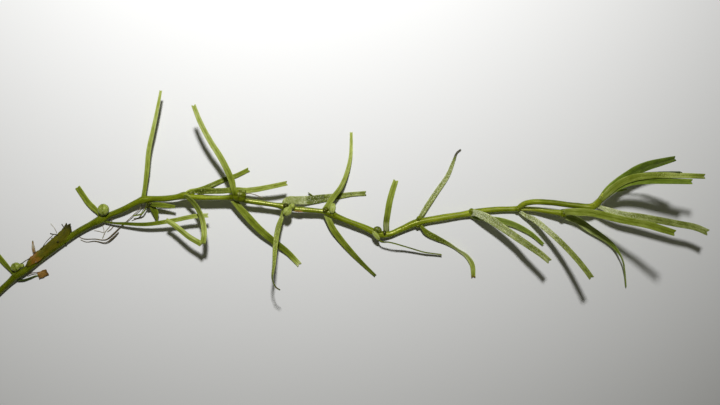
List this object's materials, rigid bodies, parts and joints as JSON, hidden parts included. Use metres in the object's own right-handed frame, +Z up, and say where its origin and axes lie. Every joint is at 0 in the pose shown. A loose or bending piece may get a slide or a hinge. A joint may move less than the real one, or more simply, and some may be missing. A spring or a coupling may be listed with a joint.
{
  "type": "water starwort sprig",
  "caption": "Cut sprig of an aquatic plant lying flat: a forked jointed stem with narrow notched leaves in pairs, small lobed fruits, thin roots and a withered leaf.",
  "frame": {"origin": "middle of the sprig's outer box in X and Y, on the plane that it lies on", "axes": "+X along the stem from the cut end to the growing tip, +Z up out of the surface that the sprig lies on, +Y across it"},
  "size_m": [0.1049, 0.0313, 0.0121],
  "materials": {
    "stem_green": "smooth, moist, slightly glossy plant stem",
    "leaf_green": "thin moist leaf, slightly glossy",
    "pale_leaf": "wet leaf with pale glistening speckles",
    "dark_leaf": "thin dark green leaf, slightly glossy",
    "fruit_green": "small pale green fruit, slightly glossy",
    "withered_brown": "dull withered leaf",
    "flake_brown": "dull dry brown flake",
    "root_brown": "dull thin brown root"
  },
  "bodies": {
    "root": {"brown_flake": "flake_brown", "dead_leaf": "withered_brown", "dead_spike": "withered_brown", "flake_thread": "flake_brown", "fruit_1a": "fruit_green", "fruit_1b": "fruit_green", "fruit_2": "fruit_green", "fruit_5": "fruit_green", "fruit_6a": "fruit_green", "fruit_6b": "fruit_green", "fruit_7": "fruit_green", "fruit_8a": "fruit_green", "fruit_8b": "fruit_green", "leaf_1": "leaf_green", "leaf_10a": "pale_leaf", "leaf_10b": "dark_leaf", "leaf_11": "pale_leaf", "leaf_12a": "leaf_green", "leaf_12b": "dark_leaf", "leaf_13": "pale_leaf", "leaf_2a": "leaf_green", "leaf_2b": "leaf_green", "leaf_3a": "leaf_green", "leaf_4a": "leaf_green", "leaf_4b": "leaf_green", "leaf_4c": "leaf_green", "leaf_5a": "leaf_green", "leaf_5b": "leaf_green", "leaf_6a": "leaf_green", "leaf_6b": "pale_leaf", "leaf_7a": "leaf_green", "leaf_7b": "leaf_green", "leaf_8a": "leaf_green", "leaf_8b": "leaf_green", "leaf_9a": "pale_leaf", "leaf_9b": "leaf_green", "leaflet_3b": "leaf_green", "leaflet_3c": "leaf_green", "leaflet_3d": "leaf_green", "root_a": "root_brown", "root_b": "root_brown", "root_c": "root_brown", "side_shoot": "stem_green", "stem": "stem_green", "tip_leaf_a": "dark_leaf", "tip_leaf_b": "leaf_green", "tip_leaf_c": "dark_leaf", "tip_leaf_d": "dark_leaf", "tip_leaf_e": "dark_leaf", "upper_branch": "stem_green"}
  },
  "joints": []
}
